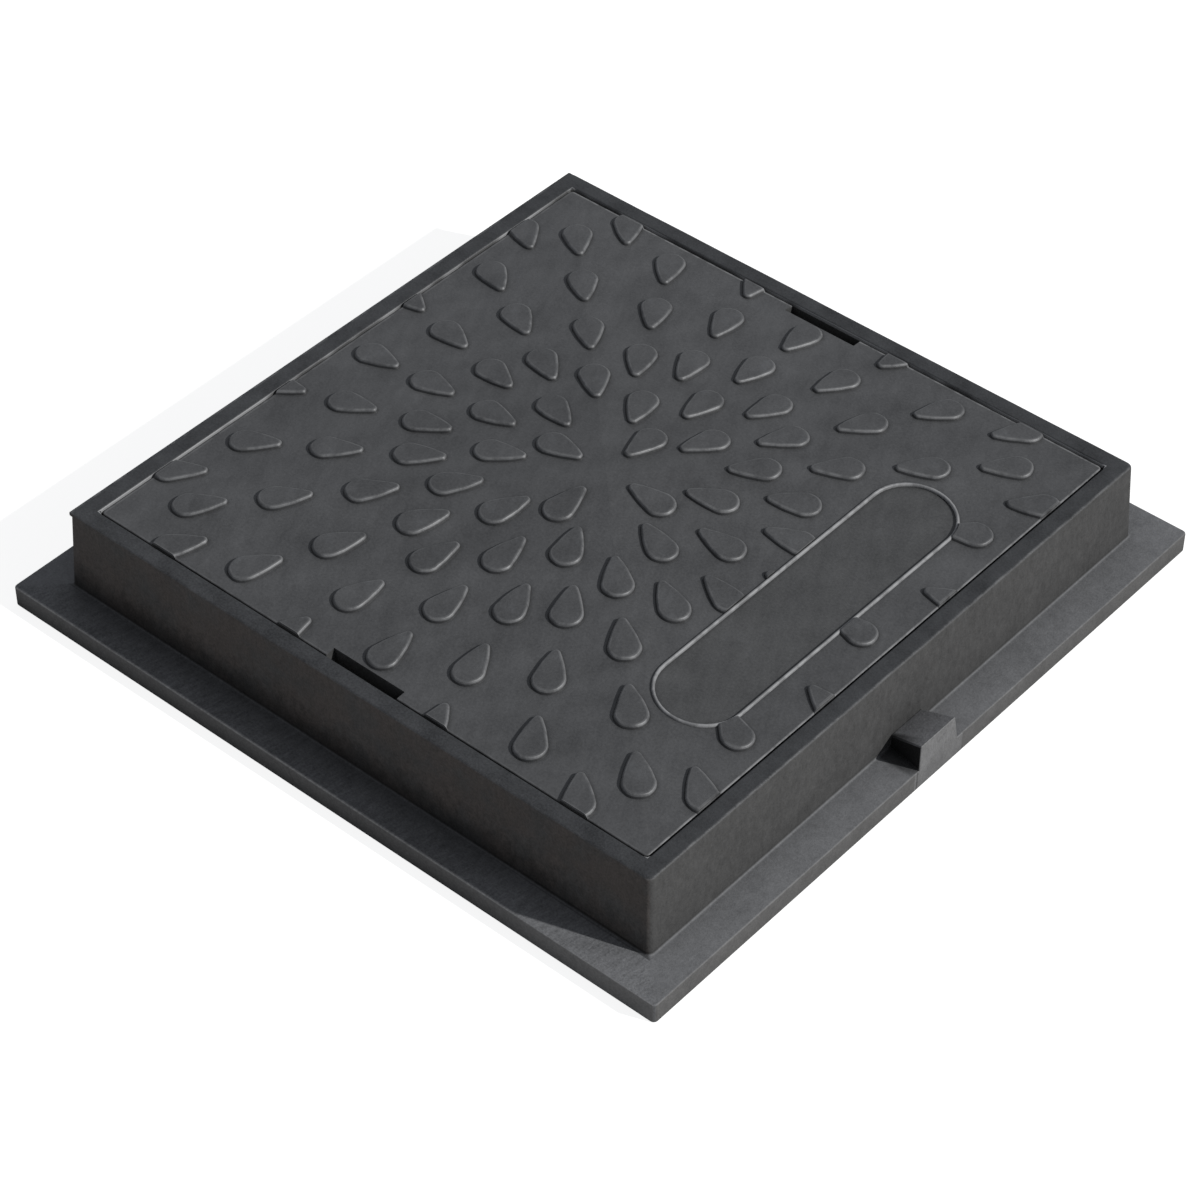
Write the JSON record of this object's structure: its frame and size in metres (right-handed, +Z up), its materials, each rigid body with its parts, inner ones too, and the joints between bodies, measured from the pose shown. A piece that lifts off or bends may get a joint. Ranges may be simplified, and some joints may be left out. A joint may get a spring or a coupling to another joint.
{
  "type": "square manhole cover",
  "caption": "Square manhole cover: flanged frame holding a low four-sided lid with teardrop tread studs, a blank badge panel and lifting notches.",
  "frame": {"origin": "centre of the frame's underside, on the surface that it stands on", "axes": "+Z up through the lid; +X towards the side with the lug and the badge panel; the lifting notches are in the middle of the -Y and +Y sides"},
  "size_m": [0.64, 0.64, 0.1085],
  "materials": {
    "frame_composite": "charcoal moulded composite, mottled with faint upright flow streaks on its walls",
    "lid_composite": "charcoal moulded composite, smooth and slightly satin, lightly scuffed on the studs"
  },
  "bodies": {
    "frame_body": {"frame": "frame_composite"},
    "lid_body": {"lid": "lid_composite"}
  },
  "joints": [
    {"name": "lid_lift", "type": "slide", "parent": "frame_body", "child": "lid_body", "axis": [0, 0, 1], "range_m": [0, 0.12]}
  ]
}
